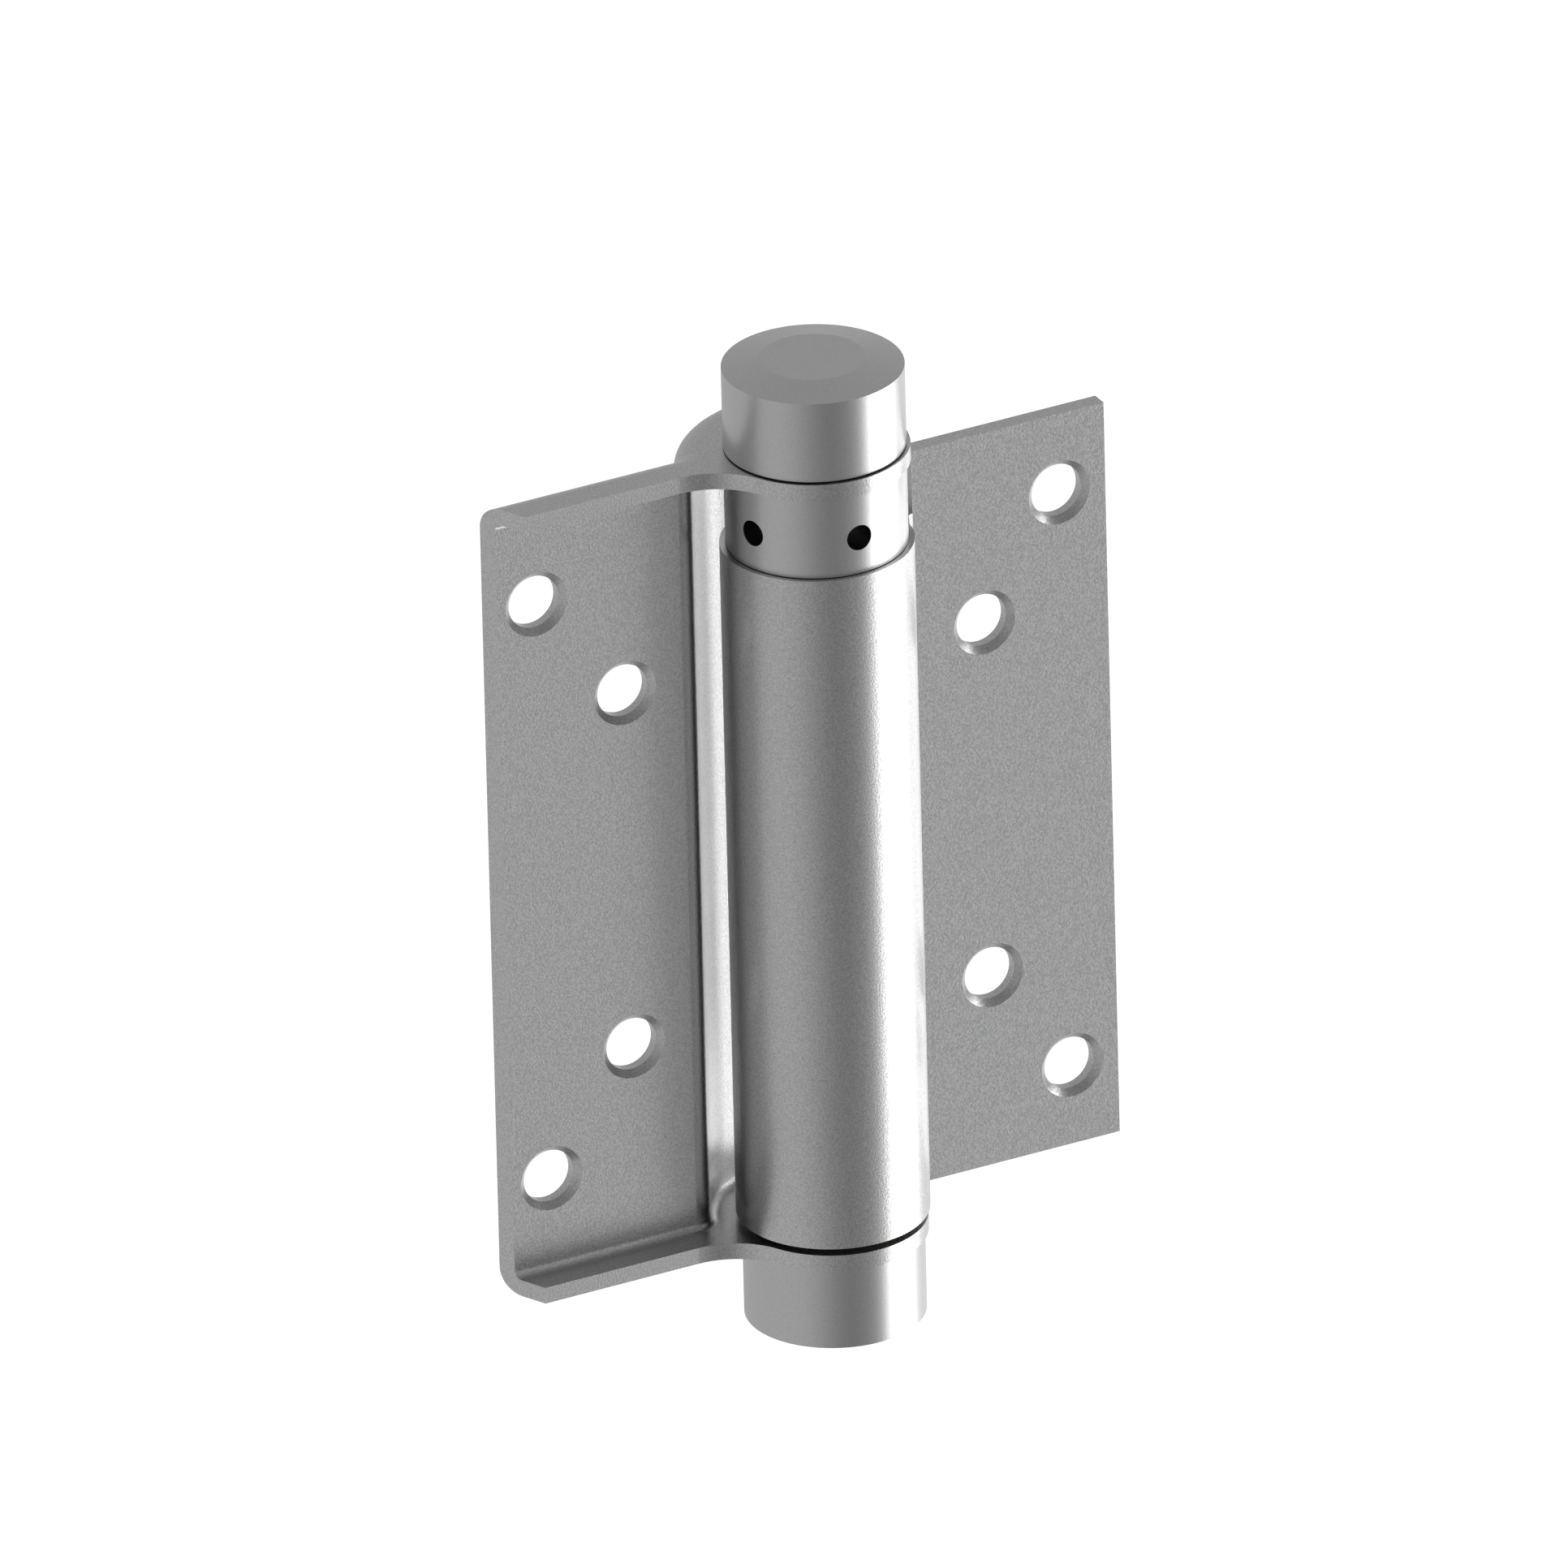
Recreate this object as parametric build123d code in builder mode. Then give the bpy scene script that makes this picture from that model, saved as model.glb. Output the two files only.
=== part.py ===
"""Single-action spring hinge, shown flat open.

Millimetres. +Z runs up the hinge axis, +X from the axis towards the barrel leaf, and the
countersunk faces of both leaves look along -Y. The origin is on the hinge axis, half-way up
the leaves.
"""

from build123d import *
from math import acos, asin, atan2, cos, degrees, radians, sin, sqrt
import os

# Sheet metal
sheet = 2.7
bend_inside = 1.25
leaf_height = 125.0

# Barrel leaf
barrel_radius = 15.0
barrel_rim_drop = 11.5
barrel_foot_drop = 0.8
barrel_leaf_reach = 49.5
shoulder_rise = 0.9
seam_gap = 0.3

# Channel leaf
channel_leaf_reach = 50.3
end_slant = 24.5
pan_depth = 5.3
nesting_clearance = 2.05
pocket_inside_radius = 19.0
pocket_end_angle = 78.0
ear_radius = 14.7
ear_blend = 11.5
ear_heel_blend = 3.0

# Screw holes, the same countersink in both leaves
screw_bore_radius = 4.3
screw_rim_radius = 5.35
screw_sink_depth = 1.1
outer_screw_end_inset = 13.4
inner_screw_end_inset = 32.25
barrel_leaf_outer_screw_inset = 8.0
barrel_leaf_inner_screw_inset = 21.5
channel_leaf_outer_screw_inset = 4.4
channel_leaf_inner_screw_inset = 19.3

# Spindle and the nuts that hold it
spindle_radius = 5.0
spindle_tip_radius = 4.0
spindle_tip_length = 3.5
spindle_chamfer = 0.5
key_flat_width = 8.0
nut_across_flats = 16.0
nut_height = 5.0
nut_chamfer = 0.8
lock_washer_radius = 8.6
lock_washer_thickness = 2.2
lock_washer_slit = 1.2

# Caps over the spindle ends
cap_radius = 14.1
cap_side_height = 13.25
cap_cone_height = 1.25
cap_flat_radius = 8.1
cap_gap = 0.25
cap_nut_clearance = 0.6

# Tension collar
collar_radius = 14.1
collar_clearance = 0.12
skirt_length = 9.0
bar_hole_radius = 2.1
bar_hole_count = 5
bar_hole_rise = 6.0
bar_hole_depth = 6.1
notch_clearance = 1.9

# Torsion spring and its lower anchor
wire_radius = 1.75
elbow_swell = 0.02
coil_gap = 0.4
spring_leg_length = 5.0
spring_seat_clearance = 0.2
leg_hole_clearance = 0.1
plug_height = 10.0
plug_wall_clearance = 0.4
plug_chamfer = 0.5
anchor_pin_radius = 1.5
anchor_pin_chamfer = 0.4

# Bearings
bush_wall = 1.4
lower_bush_height = 5.0
thrust_washer_radius = 11.2
upper_thrust_washer_thickness = 1.2
running_clearance = 0.05
seat_clearance = 0.02

# Heights and radii that follow from the sizes above
half_leaf = leaf_height / 2
barrel_top = half_leaf - barrel_rim_drop
barrel_foot = -half_leaf - barrel_foot_drop
barrel_bore_radius = barrel_radius - sheet
bend_outside = bend_inside + sheet
bend_middle = bend_inside + sheet / 2
flange_inside = half_leaf + nesting_clearance
flange_outside = flange_inside + sheet
pan_back = pan_depth + sheet
collar_foot = barrel_top + collar_clearance
collar_head = flange_inside - collar_clearance
skirt_foot = collar_foot - skirt_length
bush_bore_radius = spindle_radius + running_clearance
lower_bush_top = barrel_foot + lower_bush_height
plug_foot = lower_bush_top + running_clearance
plug_top = plug_foot + plug_height
collar_bore_radius = bush_bore_radius + bush_wall
skirt_radius = barrel_bore_radius - bush_wall - running_clearance
coil_radius = (collar_bore_radius + skirt_radius) / 2
nut_seat = flange_outside + lock_washer_thickness
spindle_thread_end = nut_seat + nut_height + spindle_chamfer
spindle_end = spindle_thread_end + spindle_tip_length
cap_foot = flange_outside + cap_gap
cap_shoulder = cap_foot + cap_side_height
bar_hole_level = collar_foot + bar_hole_rise
recess_floor = flange_inside - running_clearance - upper_thrust_washer_thickness
recess_radius = thrust_washer_radius + leg_hole_clearance
washer_bore_radius = spindle_radius + leg_hole_clearance
plug_radius = barrel_bore_radius - plug_wall_clearance
anchor_pin_level = (plug_foot + plug_top) / 2
anchor_pin_half = plug_radius - plug_chamfer
leg_hole_radius = wire_radius + leg_hole_clearance
leg_hole_depth = spring_leg_length + spring_seat_clearance
nut_corner_radius = nut_across_flats / 2 / cos(radians(30))
cap_room_radius = nut_corner_radius + cap_nut_clearance
screw_sink_angle = 2 * degrees(atan2(screw_rim_radius - screw_bore_radius, screw_sink_depth))
outer_screw_level = half_leaf - outer_screw_end_inset
inner_screw_level = half_leaf - inner_screw_end_inset

os.makedirs("parts", exist_ok=True)


# Barrel leaf: one sheet. Its flat lies in the axis plane, bends forward at the root and rolls
# round the axis until the sheet's end nearly meets the back of the root bend.
roll_radius = barrel_radius - sheet / 2
root_reach = sqrt((roll_radius + bend_middle) ** 2 - bend_middle**2)
root_angle = degrees(asin(bend_middle / (roll_radius + bend_middle)))
root_distance = roll_radius + bend_middle
seam_distance = bend_outside + seam_gap
seam_cosine = barrel_radius**2 + root_distance**2 - seam_distance**2
seam_cosine /= 2 * barrel_radius * root_distance
roll_turn = 360 - degrees(acos(seam_cosine))

with BuildPart() as barrel_leaf:
    with BuildSketch(Plane.XY.offset(barrel_foot)):
        with BuildLine():
            flat = Line((barrel_leaf_reach, 0), (root_reach, 0))
            root = JernArc(
                start=flat @ 1, tangent=flat % 1, radius=bend_middle, arc_size=90 - root_angle
            )
            JernArc(start=root @ 1, tangent=root % 1, radius=roll_radius, arc_size=-roll_turn)
        trace(line_width=sheet)
    extrude(amount=half_leaf - barrel_foot)
    # The flat stops short of the barrel's foot
    with BuildSketch(Plane.XY.offset(barrel_foot)):
        with Locations((root_reach, 0)):
            Rectangle(barrel_leaf_reach, 2 * sheet, align=(Align.MIN, Align.CENTER))
    extrude(amount=-half_leaf - barrel_foot, mode=Mode.SUBTRACT)
    # The barrel stops at its rim, and the flat is notched beside the collar
    with BuildSketch(Plane.XY.offset(barrel_top)):
        Circle(barrel_radius)
    extrude(amount=leaf_height, mode=Mode.SUBTRACT)
    with BuildSketch(Plane.XY.offset(barrel_top + shoulder_rise)):
        Circle(collar_radius + notch_clearance)
    extrude(amount=leaf_height, mode=Mode.SUBTRACT)
    # Countersunk screw holes
    with Locations(Plane(origin=(0, -sheet / 2, 0), x_dir=(1, 0, 0), z_dir=(0, -1, 0))):
        with Locations(
            (barrel_leaf_reach - barrel_leaf_outer_screw_inset, outer_screw_level),
            (barrel_leaf_reach - barrel_leaf_outer_screw_inset, -outer_screw_level),
            (barrel_leaf_reach - barrel_leaf_inner_screw_inset, inner_screw_level),
            (barrel_leaf_reach - barrel_leaf_inner_screw_inset, -inner_screw_level),
        ):
            CounterSinkHole(
                radius=screw_bore_radius,
                counter_sink_radius=screw_rim_radius,
                depth=2 * sheet,
                counter_sink_angle=screw_sink_angle,
            )
barrel_leaf.part.label = "barrel_leaf"
export_step(barrel_leaf.part, "parts/barrel_leaf.step")


# Channel leaf: one sheet pressed into a shallow pan. The web runs flat, turns back round a
# bend and follows a pocket behind the barrel; flanges along its top and bottom grow into ears.
web_bend_y = pan_depth + bend_outside
web_bend_distance = pocket_inside_radius + bend_outside
web_bend_x = -sqrt(web_bend_distance**2 - web_bend_y**2)
web_bend_angle = degrees(atan2(web_bend_y, web_bend_x))
web_bend_turn = web_bend_angle - 90
pocket_turn = web_bend_angle - pocket_end_angle
pocket_outside_radius = pocket_inside_radius + sheet
blank_reach = channel_leaf_reach + 2 * pan_back
hollow_reach = blank_reach + sheet

# The hollow in front of the web, between the flanges
with BuildPart() as pan_hollow:
    with BuildSketch(Plane.XY.offset(-flange_inside)):
        with BuildLine():
            front = Line((-hollow_reach, pan_depth), (web_bend_x, pan_depth))
            front_bend = JernArc(
                start=front @ 1, tangent=front % 1, radius=bend_outside, arc_size=web_bend_turn
            )
            front_pocket = JernArc(
                start=front_bend @ 1,
                tangent=front_bend % 1,
                radius=pocket_inside_radius,
                arc_size=-pocket_turn,
            )
            Polyline(
                front_pocket @ 1,
                (front_pocket @ 1) * (hollow_reach / pocket_inside_radius),
                (hollow_reach, hollow_reach),
                (hollow_reach, -hollow_reach),
                (-hollow_reach, -hollow_reach),
                front @ 0,
            )
        make_face()
    extrude(amount=2 * flange_inside)
    web_edges = [
        pan_hollow.edges().sort_by_distance((point.X, point.Y, level))[0]
        for point in (front @ 0.5, front_bend @ 0.5, front_pocket @ 0.5)
        for level in (-flange_inside, flange_inside)
    ]
    fillet(web_edges, bend_inside)

with BuildPart() as channel_leaf:
    # Outer form, as far as the back of the sheet
    with BuildSketch(Plane.XY.offset(-flange_outside)) as ear_plan:
        with BuildLine():
            back = Line((-blank_reach, pan_back), (web_bend_x, pan_back))
            back_bend = JernArc(
                start=back @ 1, tangent=back % 1, radius=bend_inside, arc_size=web_bend_turn
            )
            back_pocket = JernArc(
                start=back_bend @ 1,
                tangent=back_bend % 1,
                radius=pocket_outside_radius,
                arc_size=-pocket_turn,
            )
            Polyline(back_pocket @ 1, (0, 0), (-blank_reach, 0), back @ 0)
        make_face()
        Circle(ear_radius)
        front_corner = ear_plan.vertices().sort_by_distance((-ear_radius, 0))[0]
        fillet(front_corner, ear_blend)
        heel = (back_pocket @ 1) * (ear_radius / pocket_outside_radius)
        heel_corner = ear_plan.vertices().sort_by_distance(heel)[0]
        fillet(heel_corner, ear_heel_blend)
    extrude(amount=2 * flange_outside)
    rear_edges = [
        channel_leaf.edges().sort_by_distance((point.X, point.Y, level))[0]
        for point in (back @ 0.5, back_bend @ 0.5, back_pocket @ 0.5)
        for level in (-flange_outside, flange_outside)
    ]
    fillet(rear_edges, bend_outside)
    add(pan_hollow.part, mode=Mode.SUBTRACT)
    # Free end, cut on a slant from the flange tips to the back of the web
    slant = Plane(
        origin=(-channel_leaf_reach, 0, 0),
        z_dir=(cos(radians(end_slant)), sin(radians(end_slant)), 0),
    )
    split(bisect_by=slant, keep=Keep.TOP)
    # Round spindle hole in the upper ear, keyed hole in the lower ear
    with BuildSketch(Plane.XY.offset(flange_outside)):
        Circle(bush_bore_radius)
    extrude(amount=-2 * sheet, mode=Mode.SUBTRACT)
    with BuildSketch(Plane.XY.offset(-flange_outside)):
        Circle(bush_bore_radius)
        Rectangle(2 * ear_radius, key_flat_width + 2 * seat_clearance, mode=Mode.INTERSECT)
    extrude(amount=2 * sheet, mode=Mode.SUBTRACT)
    # Countersunk screw holes
    with Locations(Plane(origin=(0, pan_depth, 0), x_dir=(1, 0, 0), z_dir=(0, -1, 0))):
        with Locations(
            (channel_leaf_outer_screw_inset - channel_leaf_reach, outer_screw_level),
            (channel_leaf_outer_screw_inset - channel_leaf_reach, -outer_screw_level),
            (channel_leaf_inner_screw_inset - channel_leaf_reach, inner_screw_level),
            (channel_leaf_inner_screw_inset - channel_leaf_reach, -inner_screw_level),
        ):
            CounterSinkHole(
                radius=screw_bore_radius,
                counter_sink_radius=screw_rim_radius,
                depth=2 * sheet,
                counter_sink_angle=screw_sink_angle,
            )
channel_leaf.part.label = "channel_leaf"
export_step(channel_leaf.part, "parts/channel_leaf.step")


# Spindle: carries both leaves, flats on its lower end turn it with the channel leaf
with BuildPart() as spindle:
    with BuildSketch(Plane.XZ):
        with BuildLine():
            Polyline(
                (0, -spindle_end),
                (spindle_tip_radius - spindle_chamfer, -spindle_end),
                (spindle_tip_radius, -spindle_end + spindle_chamfer),
                (spindle_tip_radius, -spindle_thread_end),
                (spindle_radius - spindle_chamfer, -spindle_thread_end),
                (spindle_radius, -spindle_thread_end + spindle_chamfer),
                (spindle_radius, spindle_thread_end - spindle_chamfer),
                (spindle_radius - spindle_chamfer, spindle_thread_end),
                (spindle_tip_radius, spindle_thread_end),
                (spindle_tip_radius, spindle_end - spindle_chamfer),
                (spindle_tip_radius - spindle_chamfer, spindle_end),
                (0, spindle_end),
                close=True,
            )
        make_face()
    revolve(axis=Axis.Z)
    with BuildSketch(Plane.XY.offset(-flange_inside)):
        Circle(2 * spindle_radius)
        Rectangle(4 * spindle_radius, key_flat_width, mode=Mode.SUBTRACT)
    extrude(amount=flange_inside - spindle_end, mode=Mode.SUBTRACT)
    with Locations(Plane(origin=(0, 0, anchor_pin_level), z_dir=(0, 1, 0))):
        Hole(radius=anchor_pin_radius + seat_clearance)
spindle.part.label = "spindle"
export_step(spindle.part, "parts/spindle.step")


# Anchor plug: pinned to the spindle, takes the spring's lower leg
with BuildPart() as anchor_plug:
    with BuildSketch(Plane.XY.offset(plug_foot)):
        Circle(plug_radius)
        Circle(spindle_radius + seat_clearance, mode=Mode.SUBTRACT)
    extrude(amount=plug_height)
    with BuildSketch(Plane.XY.offset(plug_top)):
        with Locations((coil_radius, 0)):
            Circle(leg_hole_radius)
    extrude(amount=-leg_hole_depth, mode=Mode.SUBTRACT)
    with Locations(Plane(origin=(0, 0, anchor_pin_level), z_dir=(0, 1, 0))):
        Hole(radius=anchor_pin_radius + seat_clearance)
    chamfer(anchor_plug.edges().filter_by(GeomType.CIRCLE).group_by(SortBy.RADIUS)[-1], plug_chamfer)
anchor_plug.part.label = "anchor_plug"
export_step(anchor_plug.part, "parts/anchor_plug.step")

with BuildPart() as anchor_pin:
    with BuildSketch(Plane(origin=(0, -anchor_pin_half, anchor_pin_level), z_dir=(0, 1, 0))):
        Circle(anchor_pin_radius)
    extrude(amount=2 * anchor_pin_half)
    chamfer(anchor_pin.edges(), anchor_pin_chamfer)
anchor_pin.part.label = "anchor_pin"
export_step(anchor_pin.part, "parts/anchor_pin.step")


# Torsion spring: close-wound wire with a leg turned down into the plug and one up into the
# collar's skirt. The wire swells a little at each elbow
coil_low = plug_top + spring_seat_clearance + wire_radius
coil_high = skirt_foot - spring_seat_clearance - wire_radius
coil_pitch = 2 * wire_radius + coil_gap
coil_height = coil_high - coil_low
upper_leg_angle = 360 * coil_height / coil_pitch
with BuildPart() as torsion_spring:
    with BuildLine():
        coil = Helix(
            pitch=coil_pitch, height=coil_height, radius=coil_radius, center=(0, 0, coil_low)
        )
    with BuildSketch(Plane(origin=coil @ 0, z_dir=coil % 0)):
        Circle(wire_radius)
    sweep(path=coil, is_frenet=True)
    for elbow, leg_direction in ((coil @ 0, -1), (coil @ 1, 1)):
        with Locations(elbow):
            Sphere(wire_radius + elbow_swell)
        with BuildSketch(Plane(origin=elbow, z_dir=(0, 0, leg_direction))):
            Circle(wire_radius)
        extrude(amount=spring_leg_length + wire_radius)
torsion_spring.part.label = "torsion_spring"
export_step(torsion_spring.part, "parts/torsion_spring.step")


# Tension collar: its skirt runs in the barrel's mouth and holds the spring's upper leg; a bar
# in one of the radial holes winds the spring
with BuildPart() as tension_collar:
    with BuildSketch(Plane.XZ):
        with BuildLine():
            Polyline(
                (collar_bore_radius, skirt_foot),
                (skirt_radius, skirt_foot),
                (skirt_radius, collar_foot),
                (collar_radius, collar_foot),
                (collar_radius, collar_head),
                (recess_radius, collar_head),
                (recess_radius, recess_floor),
                (collar_bore_radius, recess_floor),
                close=True,
            )
        make_face()
    revolve(axis=Axis.Z)
    for hole in range(bar_hole_count):
        bearing = radians(-90 + hole * 360 / bar_hole_count)
        outward = Vector(cos(bearing), sin(bearing), 0)
        mouth = outward * collar_radius + Vector(0, 0, bar_hole_level)
        with Locations(Plane(origin=mouth, z_dir=outward)):
            Hole(radius=bar_hole_radius, depth=bar_hole_depth)
    with BuildSketch(Plane.XY.offset(skirt_foot)):
        with PolarLocations(coil_radius, 1, start_angle=upper_leg_angle):
            Circle(leg_hole_radius)
    extrude(amount=leg_hole_depth, mode=Mode.SUBTRACT)
tension_collar.part.label = "tension_collar"
export_step(tension_collar.part, "parts/tension_collar.step")


def make_ring(foot, head, inner_radius, outer_radius):
    """A plain ring round the hinge axis, as a bush or a washer is."""
    with BuildPart() as ring:
        with BuildSketch(Plane.XY.offset(foot)):
            Circle(outer_radius)
            Circle(inner_radius, mode=Mode.SUBTRACT)
        extrude(amount=head - foot)
    return ring.part


# Bearings: bushes in the collar, the barrel's mouth and the barrel's foot, and thrust washers
bearings = {
    "collar_bush": make_ring(
        skirt_foot, recess_floor, bush_bore_radius, collar_bore_radius - seat_clearance
    ),
    "upper_barrel_bush": make_ring(
        skirt_foot, barrel_top, skirt_radius + running_clearance, barrel_bore_radius - seat_clearance
    ),
    "lower_barrel_bush": make_ring(
        barrel_foot, lower_bush_top, bush_bore_radius, barrel_bore_radius - seat_clearance
    ),
    "upper_thrust_washer": make_ring(
        recess_floor, flange_inside - running_clearance, washer_bore_radius, thrust_washer_radius
    ),
    "lower_thrust_washer": make_ring(
        running_clearance - flange_inside,
        barrel_foot - running_clearance,
        washer_bore_radius,
        thrust_washer_radius,
    ),
}
for name, bearing_part in bearings.items():
    bearing_part.label = name
    export_step(bearing_part, f"parts/{name}.step")


# Split lock washers and thin hexagon nuts, above the upper ear and below the lower one
with BuildPart() as upper_lock_washer:
    with BuildSketch(Plane.XY.offset(flange_outside)):
        Circle(lock_washer_radius)
        Circle(spindle_radius + seat_clearance, mode=Mode.SUBTRACT)
        with Locations((lock_washer_radius, 0)):
            Rectangle(lock_washer_radius, lock_washer_slit, mode=Mode.SUBTRACT)
    extrude(amount=lock_washer_thickness)
upper_lock_washer.part.label = "upper_lock_washer"
export_step(upper_lock_washer.part, "parts/upper_lock_washer.step")

with BuildPart() as lower_lock_washer:
    mirror(upper_lock_washer.part, about=Plane.XY)
lower_lock_washer.part.label = "lower_lock_washer"
export_step(lower_lock_washer.part, "parts/lower_lock_washer.step")

with BuildPart() as upper_nut:
    with BuildSketch(Plane.XY.offset(nut_seat)):
        RegularPolygon(radius=nut_across_flats / 2, side_count=6, major_radius=False)
        Circle(spindle_radius + seat_clearance, mode=Mode.SUBTRACT)
    extrude(amount=nut_height)
    # Corners turned off at both faces
    with BuildSketch(Plane.XZ):
        with BuildLine():
            Polyline(
                (0, nut_seat),
                (nut_across_flats / 2, nut_seat),
                (nut_corner_radius, nut_seat + nut_chamfer),
                (nut_corner_radius, nut_seat + nut_height - nut_chamfer),
                (nut_across_flats / 2, nut_seat + nut_height),
                (0, nut_seat + nut_height),
                close=True,
            )
        make_face()
    revolve(axis=Axis.Z, mode=Mode.INTERSECT)
upper_nut.part.label = "upper_nut"
export_step(upper_nut.part, "parts/upper_nut.step")

with BuildPart() as lower_nut:
    mirror(upper_nut.part, about=Plane.XY)
lower_nut.part.label = "lower_nut"
export_step(lower_nut.part, "parts/lower_nut.step")


# Caps: turned covers over the nuts, pressed on the spindle's tips
with BuildPart() as upper_cap:
    with BuildSketch(Plane.XZ):
        with BuildLine():
            Polyline(
                (cap_room_radius, cap_foot),
                (cap_radius, cap_foot),
                (cap_radius, cap_shoulder),
                (cap_flat_radius, cap_shoulder + cap_cone_height),
                (0, cap_shoulder + cap_cone_height),
                (0, spindle_end + cap_gap),
                (spindle_tip_radius + seat_clearance, spindle_end + cap_gap),
                (spindle_tip_radius + seat_clearance, spindle_thread_end + cap_gap),
                (cap_room_radius, spindle_thread_end + cap_gap),
                close=True,
            )
        make_face()
    revolve(axis=Axis.Z)
upper_cap.part.label = "upper_cap"
export_step(upper_cap.part, "parts/upper_cap.step")

with BuildPart() as lower_cap:
    mirror(upper_cap.part, about=Plane.XY)
lower_cap.part.label = "lower_cap"
export_step(lower_cap.part, "parts/lower_cap.step")
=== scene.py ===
"""Looks of the spring hinge: camera, photo studio, finishes, and a copy of the spring."""

from math import cos, radians, sin

import bpy
from mathutils import Matrix, Vector


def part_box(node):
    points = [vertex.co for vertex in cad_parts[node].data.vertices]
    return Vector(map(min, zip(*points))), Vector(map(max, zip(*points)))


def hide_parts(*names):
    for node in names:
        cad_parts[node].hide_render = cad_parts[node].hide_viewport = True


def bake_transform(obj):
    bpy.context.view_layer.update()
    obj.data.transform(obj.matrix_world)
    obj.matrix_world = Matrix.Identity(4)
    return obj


MM = 0.001

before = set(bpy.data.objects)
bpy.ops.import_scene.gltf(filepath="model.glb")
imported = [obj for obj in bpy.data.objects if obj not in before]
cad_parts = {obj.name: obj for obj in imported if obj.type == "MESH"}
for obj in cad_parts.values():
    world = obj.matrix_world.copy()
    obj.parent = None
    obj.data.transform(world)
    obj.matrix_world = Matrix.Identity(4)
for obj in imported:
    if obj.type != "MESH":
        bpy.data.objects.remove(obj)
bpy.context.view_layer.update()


# Camera, where the photograph was taken from

photo_pixels = 1932
photo_pixels_per_mm = 8.02372
camera_azimuth = -27.613
camera_elevation = 26.217
camera_roll = 1.4103
camera_distance = 10.9
view_shift_right = 6.171 * MM
view_shift_up = -8.166 * MM
sensor_width = 36.0

back = Vector((
    sin(radians(camera_azimuth)) * cos(radians(camera_elevation)),
    -cos(radians(camera_azimuth)) * cos(radians(camera_elevation)),
    sin(radians(camera_elevation)),
))
level_right = Vector((0, 0, 1)).cross(back).normalized()
level_up = back.cross(level_right)
right = cos(radians(camera_roll)) * level_right - sin(radians(camera_roll)) * level_up
up = sin(radians(camera_roll)) * level_right + cos(radians(camera_roll)) * level_up

camera = bpy.data.objects.new("camera", bpy.data.cameras.new("camera"))
camera.data.sensor_width = sensor_width
camera.data.lens = photo_pixels_per_mm / MM * camera_distance * sensor_width / photo_pixels
camera.matrix_world = Matrix.Translation(
    camera_distance * back - view_shift_right * right - view_shift_up * up
) @ Matrix((right, up, back)).transposed().to_4x4()
bpy.context.scene.collection.objects.link(camera)
bpy.context.scene.camera = camera
bpy.context.scene.view_settings.view_transform = "Standard"


# Node trees

def add_node(tree, kind, settings=None, inputs=None):
    """Adds a node. Settings are its properties; inputs are its sockets' values, or sockets to link."""
    node = tree.nodes.new(kind)
    for name, value in (settings or {}).items():
        setattr(node, name, value)
    for name, value in (inputs or {}).items():
        if isinstance(value, bpy.types.NodeSocket):
            tree.links.new(value, node.inputs[name])
        else:
            node.inputs[name].default_value = value
    return node


def srgb(code):
    """The linear colour, with alpha, of an sRGB hex code."""
    channels = [int(code[i:i + 2], 16) / 255 for i in (1, 3, 5)]
    return [c / 12.92 if c <= 0.04045 else ((c + 0.055) / 1.055) ** 2.4 for c in channels] + [1.0]


# Studio

# A pale tent stands all round, dimmer overhead, and the metal mirrors whatever hangs on it: a tall
# soft light to the right of the camera, a grey card that faces the hinge, and a dark canopy over
# the camera up to the zenith. Behind the hinge hangs the backdrop. Metal and glass see it as white
# as the camera does, and matt surfaces get no more light from there than the tent gives
tent_level = 0.528
tent_level_at_nadir = 1.18
tent_level_at_zenith = 0.685
soft_light_level = 3.04
soft_light_azimuth = -22.0
soft_light_half_width = 24.1
soft_light_foot = -60.0
soft_light_top = 25.0
soft_light_edge = 5.0
grey_card_azimuth = -97.0
grey_card_depth = 0.296
grey_card_spread = 4.0
backdrop_level = 1.0
backdrop_azimuth = 34.0
backdrop_half_width = 28.0
backdrop_foot = -45.0
backdrop_top = -5.0
backdrop_edge = 12.0
canopy_level = 0.24
canopy_azimuth = -70.0
canopy_half_width = 60.0
canopy_foot = 5.0
canopy_edge = 21.0
canopy_top = 90.0 + canopy_edge

studio = bpy.data.worlds.new("studio")
studio.use_nodes = True
tent_tree = studio.node_tree
tent_tree.nodes.clear()
bpy.context.scene.world = studio

direction = add_node(tent_tree, "ShaderNodeTexCoord").outputs["Generated"]
flattened = add_node(tent_tree, "ShaderNodeVectorMath", {"operation": "MULTIPLY"}, {
    0: direction, 1: (1, 1, 0),
})
level_direction = add_node(tent_tree, "ShaderNodeVectorMath", {"operation": "NORMALIZE"}, {
    0: flattened.outputs[0],
}).outputs[0]
height = add_node(tent_tree, "ShaderNodeSeparateXYZ", None, {0: direction}).outputs["Z"]
elevation = add_node(tent_tree, "ShaderNodeMath", {"operation": "ARCSINE"}, {0: height}).outputs[0]
seen = add_node(tent_tree, "ShaderNodeLightPath")


def facing(azimuth):
    """The cosine of the angle, seen from above, between a direction and a place on the wall."""
    place = (cos(radians(azimuth)), sin(radians(azimuth)), 0)
    return add_node(tent_tree, "ShaderNodeVectorMath", {"operation": "DOT_PRODUCT"}, {
        0: level_direction, 1: place,
    }).outputs["Value"]


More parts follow.
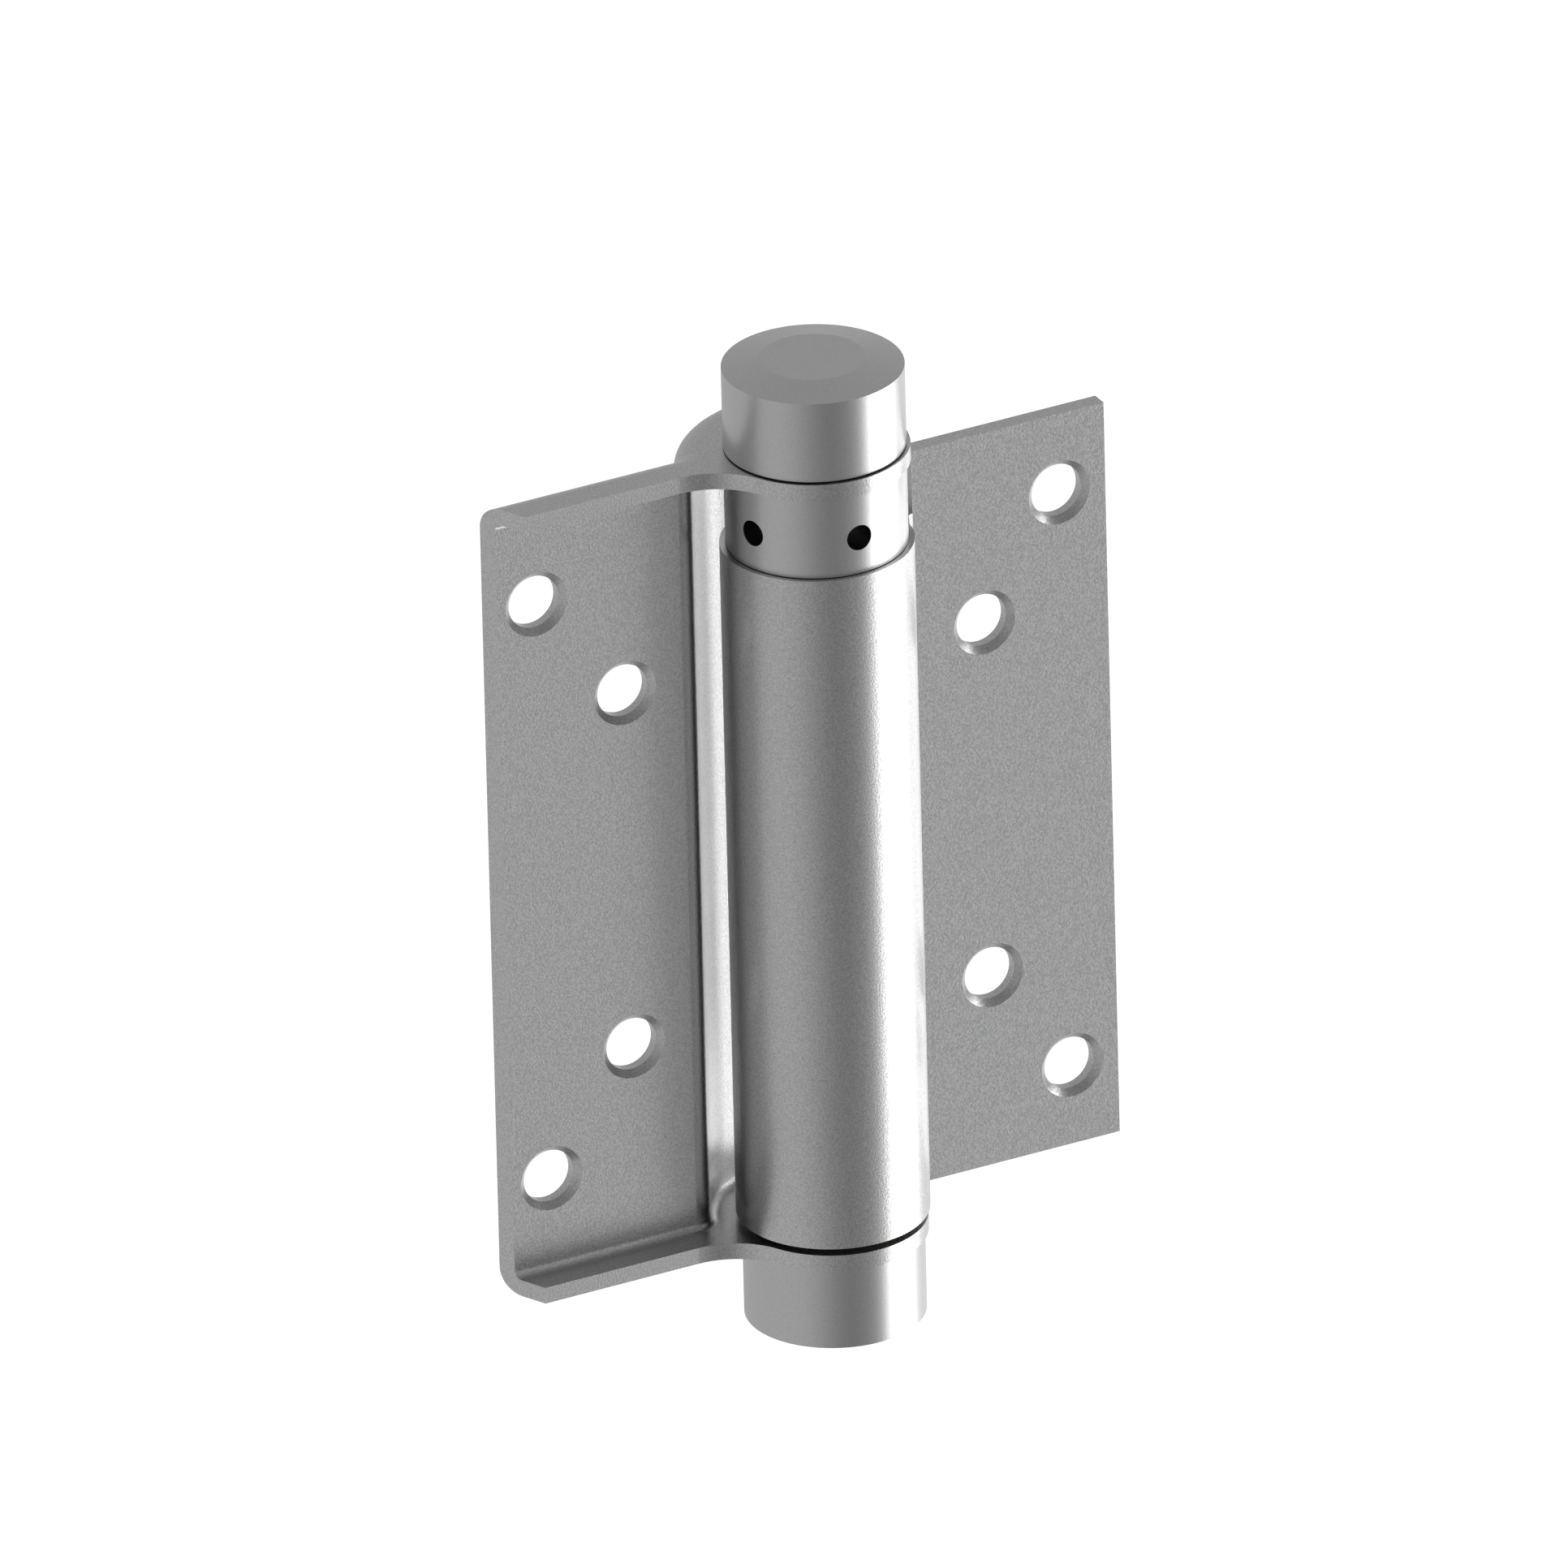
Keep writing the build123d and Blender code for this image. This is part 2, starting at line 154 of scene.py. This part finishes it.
def hang(level, panel_level, azimuth, half_width, foot, top, edge):
    """Hangs a panel of its own level on the tent, with soft edges; its angles are in degrees."""
    bearing = add_node(tent_tree, "ShaderNodeMath", {"operation": "ARCCOSINE"}, {
        0: facing(azimuth),
    }).outputs[0]
    for angle, outer, inner in (
        (elevation, top + edge, top - edge),
        (elevation, foot - edge, foot + edge),
        (bearing, half_width + edge, half_width - edge),
    ):
        panel_level = add_node(tent_tree, "ShaderNodeMapRange", {"interpolation_type": "SMOOTHSTEP"}, {
            "Value": angle, "From Min": radians(outer), "From Max": radians(inner),
            "To Min": level, "To Max": panel_level,
        }).outputs[0]
    return panel_level


toward_card = add_node(tent_tree, "ShaderNodeMath", {"operation": "MAXIMUM"}, {
    0: facing(grey_card_azimuth), 1: 0.0,
})
grey_card = add_node(tent_tree, "ShaderNodeMath", {"operation": "POWER"}, {
    0: toward_card.outputs[0], 1: grey_card_spread,
})
walls = add_node(tent_tree, "ShaderNodeMath", {"operation": "MULTIPLY_ADD"}, {
    0: grey_card.outputs[0], 1: -grey_card_depth, 2: tent_level,
})
dimming = add_node(tent_tree, "ShaderNodeMapRange", None, {
    "Value": height, "From Min": -1.0, "From Max": 1.0,
    "To Min": tent_level_at_nadir, "To Max": tent_level_at_zenith,
})
level = add_node(tent_tree, "ShaderNodeMath", {"operation": "MULTIPLY"}, {
    0: walls.outputs[0], 1: dimming.outputs[0],
}).outputs[0]
mirrored = add_node(tent_tree, "ShaderNodeMath", {"operation": "MAXIMUM"}, {
    0: seen.outputs["Is Glossy Ray"], 1: seen.outputs["Is Transmission Ray"],
})
mirrored_backdrop = add_node(tent_tree, "ShaderNodeMix", {"data_type": "FLOAT"}, {
    "Factor": mirrored.outputs[0], "A": level, "B": backdrop_level,
}).outputs["Result"]
level = hang(
    level, mirrored_backdrop, backdrop_azimuth, backdrop_half_width, backdrop_foot, backdrop_top,
    backdrop_edge,
)
level = hang(
    level, canopy_level, canopy_azimuth, canopy_half_width, canopy_foot, canopy_top, canopy_edge
)
level = hang(
    level, soft_light_level, soft_light_azimuth, soft_light_half_width, soft_light_foot,
    soft_light_top, soft_light_edge,
)
tent = add_node(tent_tree, "ShaderNodeBackground", None, {
    "Color": srgb("#FFFFFF"), "Strength": level,
})
white = add_node(tent_tree, "ShaderNodeBackground", None, {"Color": srgb("#FFFFFF")})
backdrop = add_node(tent_tree, "ShaderNodeMixShader", None, {
    "Fac": seen.outputs["Is Camera Ray"], 1: tent.outputs[0], 2: white.outputs[0],
})
add_node(tent_tree, "ShaderNodeOutputWorld", None, {"Surface": backdrop.outputs[0]})


# Floor, pale and well below the hinge, which hangs as it does on its door

floor_size = 8.0
floor_level = -0.30
floor_glow = 0.71
floor_colour = "#F2F2F2"

floor_mesh = bpy.data.meshes.new("floor")
corners = [
    (x * floor_size / 2, y * floor_size / 2, floor_level)
    for x, y in ((-1, -1), (1, -1), (1, 1), (-1, 1))
]
floor_mesh.from_pydata(corners, [], [range(len(corners))])
floor = bpy.data.objects.new("floor", floor_mesh)
bpy.context.scene.collection.objects.link(floor)
floor.visible_glossy = False
paper = bpy.data.materials.new("white_paper")
paper.use_nodes = True
paper.node_tree.nodes.clear()
matt = add_node(paper.node_tree, "ShaderNodeBsdfDiffuse", None, {"Color": srgb(floor_colour)})
glow = add_node(paper.node_tree, "ShaderNodeEmission", None, {
    "Color": srgb("#FFFFFF"), "Strength": floor_glow,
})
lit = add_node(paper.node_tree, "ShaderNodeAddShader", None, {0: matt.outputs[0], 1: glow.outputs[0]})
floor_seen = add_node(paper.node_tree, "ShaderNodeLightPath")
surface = add_node(paper.node_tree, "ShaderNodeMixShader", None, {
    "Fac": floor_seen.outputs["Is Camera Ray"], 1: matt.outputs[0], 2: lit.outputs[0],
})
add_node(paper.node_tree, "ShaderNodeOutputMaterial", None, {"Surface": surface.outputs[0]})
floor_mesh.materials.append(paper)


# Finishes

def finish_of(name, colour, metallic, roughness):
    """Makes a material; returns it and its shader."""
    material = bpy.data.materials.new(name)
    material.use_nodes = True
    tree = material.node_tree
    tree.nodes.clear()
    shader = add_node(tree, "ShaderNodeBsdfPrincipled", None, {
        "Base Color": srgb(colour), "Metallic": metallic, "Roughness": roughness,
    })
    add_node(tree, "ShaderNodeOutputMaterial", None, {"Surface": shader.outputs[0]})
    return material, shader


def grain(shader, width, depth, dark, light, stretch=(1, 1, 1), heights=(0.3, 0.7)):
    """A fine random relief, sizes in metres. Between two heights its shade goes from dark to light."""
    tree = shader.id_data
    place = add_node(tree, "ShaderNodeTexCoord")
    scaled = add_node(tree, "ShaderNodeVectorMath", {"operation": "MULTIPLY"}, {
        0: place.outputs["Object"], 1: stretch,
    })
    noise = add_node(tree, "ShaderNodeTexNoise", None, {
        "Vector": scaled.outputs[0], "Scale": 1 / width, "Detail": 1.0,
    })
    relief = add_node(tree, "ShaderNodeBump", None, {
        "Height": noise.outputs["Fac"], "Distance": depth,
    })
    tree.links.new(relief.outputs[0], shader.inputs["Normal"])
    shade = add_node(tree, "ShaderNodeValToRGB", None, {"Fac": noise.outputs["Fac"]})
    for stop, height, colour in zip(shade.color_ramp.elements, heights, (dark, light)):
        stop.position = height
        stop.color = srgb(colour)
    tree.links.new(shade.outputs["Color"], shader.inputs["Base Color"])
    return shade.outputs["Color"]


# Mild steel, tumbled and satin plated: an even grey sheen with a sandy sparkle where it turns
# from light to dark. Its real grain of about 0.1 mm is too fine to show, so it is drawn at 0.3 mm
plating_colour = "#CDCDCD"
plating_roughness = 0.32
plating_grain = 0.30 * MM
satin, satin_shader = finish_of(
    "satin_plated_steel", plating_colour, metallic=1.0, roughness=plating_roughness
)
grain(satin_shader, width=plating_grain, depth=0.025 * MM, dark="#BFBFBF", light="#DADADA")

# The same plating on turned bar, smoother because it was cut and not pressed
turned_relief = 0.008 * MM
turned_dark = "#C9C9C9"
turned_light = "#D1D1D1"
turned, turned_shader = finish_of(
    "satin_plated_turned_steel", plating_colour, metallic=1.0, roughness=plating_roughness
)
grain(turned_shader, plating_grain, turned_relief, turned_dark, turned_light)

# The tension collar: the same plating on its outer skin, and a darker metal colour inside that skin,
# in the bar holes and the faces hidden in the barrel.
# This is painted shade, which makes the holes nearly black inside
collar_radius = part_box("tension_collar")[1][0]
collar_skin = 0.15 * MM
# The darker grey that paints shade into the collar's holes
painted_bore_shade = "#8C8C8C"
collar, collar_shader = finish_of(
    "satin_plated_steel_shaded_dark_inside", plating_colour, metallic=1.0, roughness=plating_roughness
)
plating = grain(collar_shader, plating_grain, turned_relief, turned_dark, turned_light)
collar_tree = collar.node_tree
place = add_node(collar_tree, "ShaderNodeTexCoord")
across_axis = add_node(collar_tree, "ShaderNodeVectorMath", {"operation": "MULTIPLY"}, {
    0: place.outputs["Object"], 1: (1, 1, 0),
})
from_axis = add_node(collar_tree, "ShaderNodeVectorMath", {"operation": "LENGTH"}, {
    0: across_axis.outputs[0],
})
outside = add_node(collar_tree, "ShaderNodeMapRange", None, {
    "Value": from_axis.outputs["Value"],
    "From Min": collar_radius - 2 * collar_skin, "From Max": collar_radius - collar_skin,
})
# Painted shade: inside the collar's outer skin the base colour goes to the darker grey
shade_painted_inside = add_node(collar_tree, "ShaderNodeMix", {"data_type": "RGBA"}, {
    "Factor": outside.outputs[0], "A": srgb(painted_bore_shade), "B": plating,
})
collar_tree.links.new(shade_painted_inside.outputs["Result"], collar_shader.inputs["Base Color"])

# Bright drawn bar: faint lines along its length
drawn, drawn_shader = finish_of("bright_drawn_steel", "#C8C9CB", metallic=1.0, roughness=0.26)
grain(
    drawn_shader, width=0.12 * MM, depth=0.003 * MM, dark="#C4C5C7", light="#CCCDCF",
    stretch=(1, 1, 0.05),
)

# Oil-tempered spring wire: a dark blue-grey skin of scale, with a soft sheen
wire, wire_shader = finish_of("oil_tempered_spring_wire", "#5A5B5E", metallic=1.0, roughness=0.38)
grain(wire_shader, width=0.25 * MM, depth=0.005 * MM, dark="#535458", light="#626367")

# Sintered bronze: warm and slightly porous
bronze, bronze_shader = finish_of("sintered_bronze", "#B08D57", metallic=1.0, roughness=0.45)
grain(bronze_shader, width=0.2 * MM, depth=0.01 * MM, dark="#9C7A48", light="#BC9963")

# Black acetal, moulded: near-black with a waxy, low sheen
acetal, acetal_shader = finish_of("black_moulded_acetal", "#1C1C1D", metallic=0.0, roughness=0.45)
grain(acetal_shader, width=0.3 * MM, depth=0.004 * MM, dark="#1A1A1B", light="#1F1F20")

finishes = {
    "barrel_leaf": satin,
    "channel_leaf": satin,
    "tension_collar": collar,
    "upper_cap": turned,
    "lower_cap": turned,
    "spindle": drawn,
    "anchor_plug": drawn,
    "anchor_pin": drawn,
    "upper_nut": drawn,
    "lower_nut": drawn,
    "torsion_spring": wire,
    "upper_lock_washer": wire,
    "lower_lock_washer": wire,
    "collar_bush": bronze,
    "upper_barrel_bush": bronze,
    "lower_barrel_bush": bronze,
    "upper_thrust_washer": acetal,
    "lower_thrust_washer": acetal,
}
for node_name, finish in finishes.items():
    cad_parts[node_name].data.materials.clear()
    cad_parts[node_name].data.materials.append(finish)


# Spring

# The spring's mesh is copied to an object of its own, and the CAD part is hidden; nothing here turns
# it. On the hinge its upper leg turns with the collar, its lower leg stays in the anchor plug on the
# channel leaf, and the coils between them share the turn
spring = bpy.data.objects.new("wound_spring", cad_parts["torsion_spring"].data.copy())
bpy.context.scene.collection.objects.link(spring)
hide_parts("torsion_spring")
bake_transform(spring)
